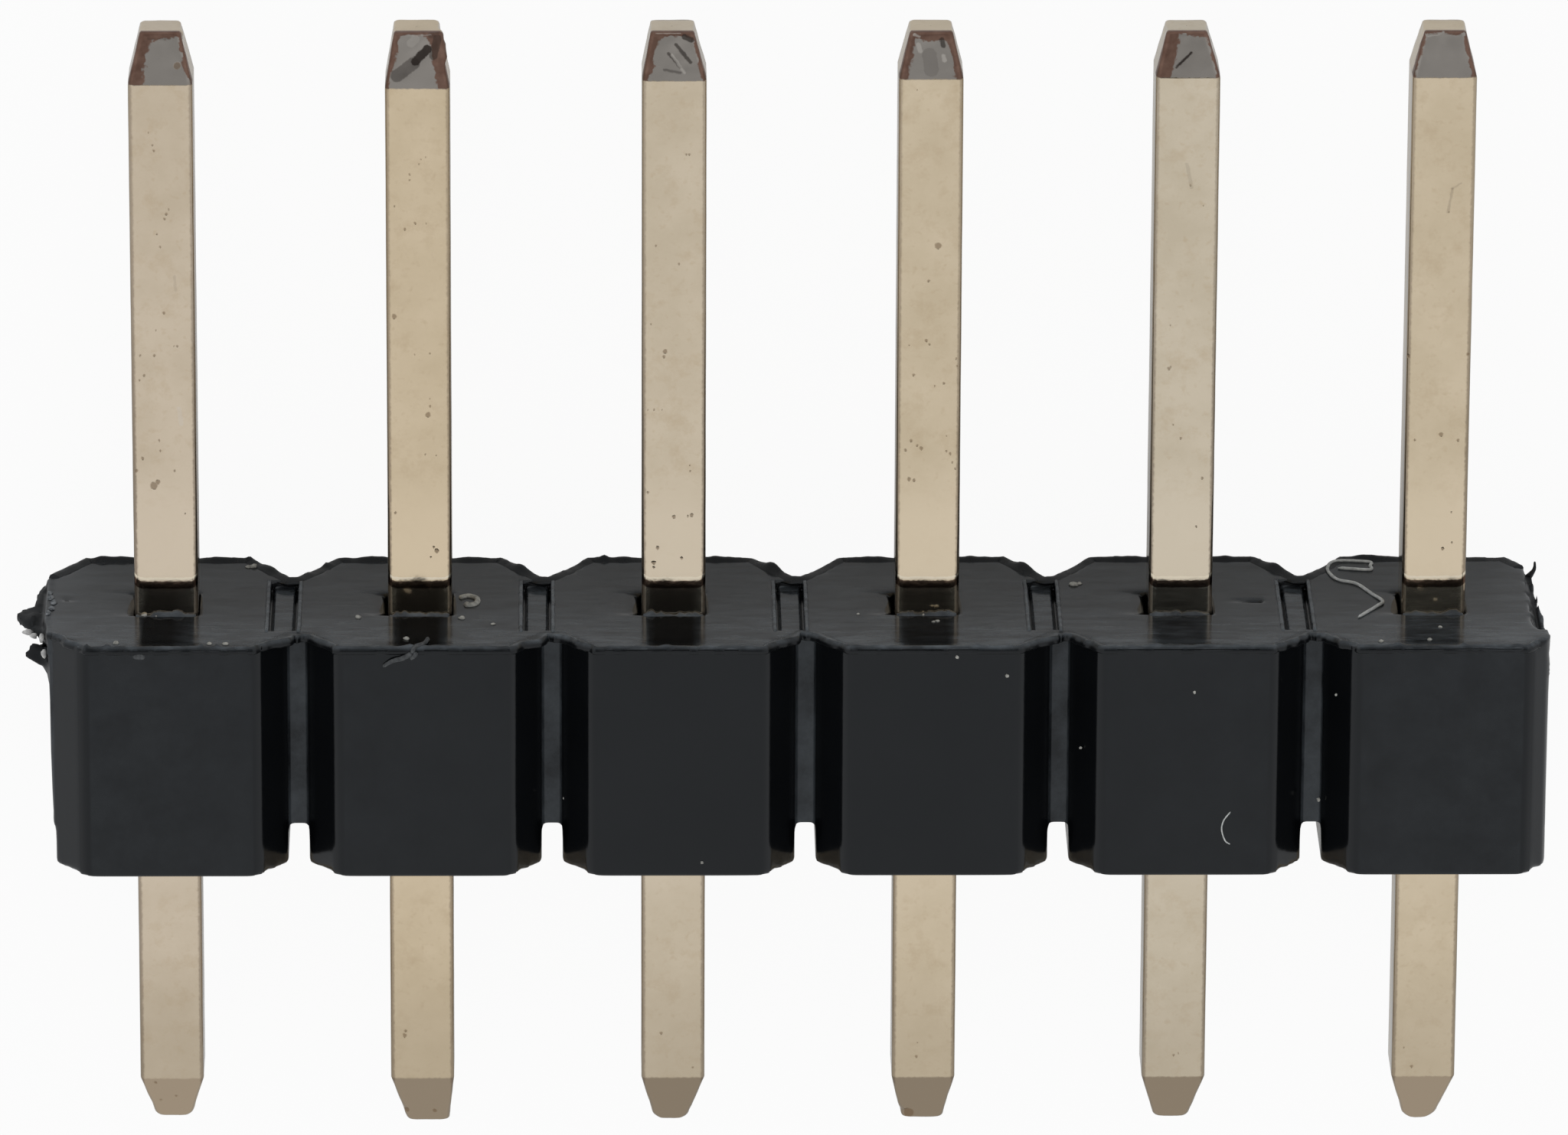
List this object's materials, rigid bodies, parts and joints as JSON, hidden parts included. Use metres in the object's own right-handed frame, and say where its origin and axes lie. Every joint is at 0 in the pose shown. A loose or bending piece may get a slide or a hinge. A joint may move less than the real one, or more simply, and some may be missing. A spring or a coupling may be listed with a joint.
{
  "type": "pin header strip",
  "caption": "Straight single-row pin header strip on a 2.54 mm pitch, with notched black insulator cells and square plated pins, snapped from a longer strip.",
  "frame": {"origin": "middle of the row, on the board side of the insulator, on the pins' centre plane", "axes": "+X along the row from pin 1 to the last pin, +Y along the mating ends of the pins, +Z out of the front face: the strip lies on its back face"},
  "size_m": [0.0153, 0.0116, 0.0026],
  "materials": {
    "moulded_plastic": "black glass-filled moulding, semi-matt, torn at both ends",
    "plated_pin": "pale gold flash over brass, satin, with small dark pits"
  },
  "bodies": {
    "root": {"insulator": "moulded_plastic", "pin_1": "plated_pin", "pin_2": "plated_pin", "pin_3": "plated_pin", "pin_4": "plated_pin", "pin_5": "plated_pin", "pin_6": "plated_pin"}
  },
  "joints": []
}
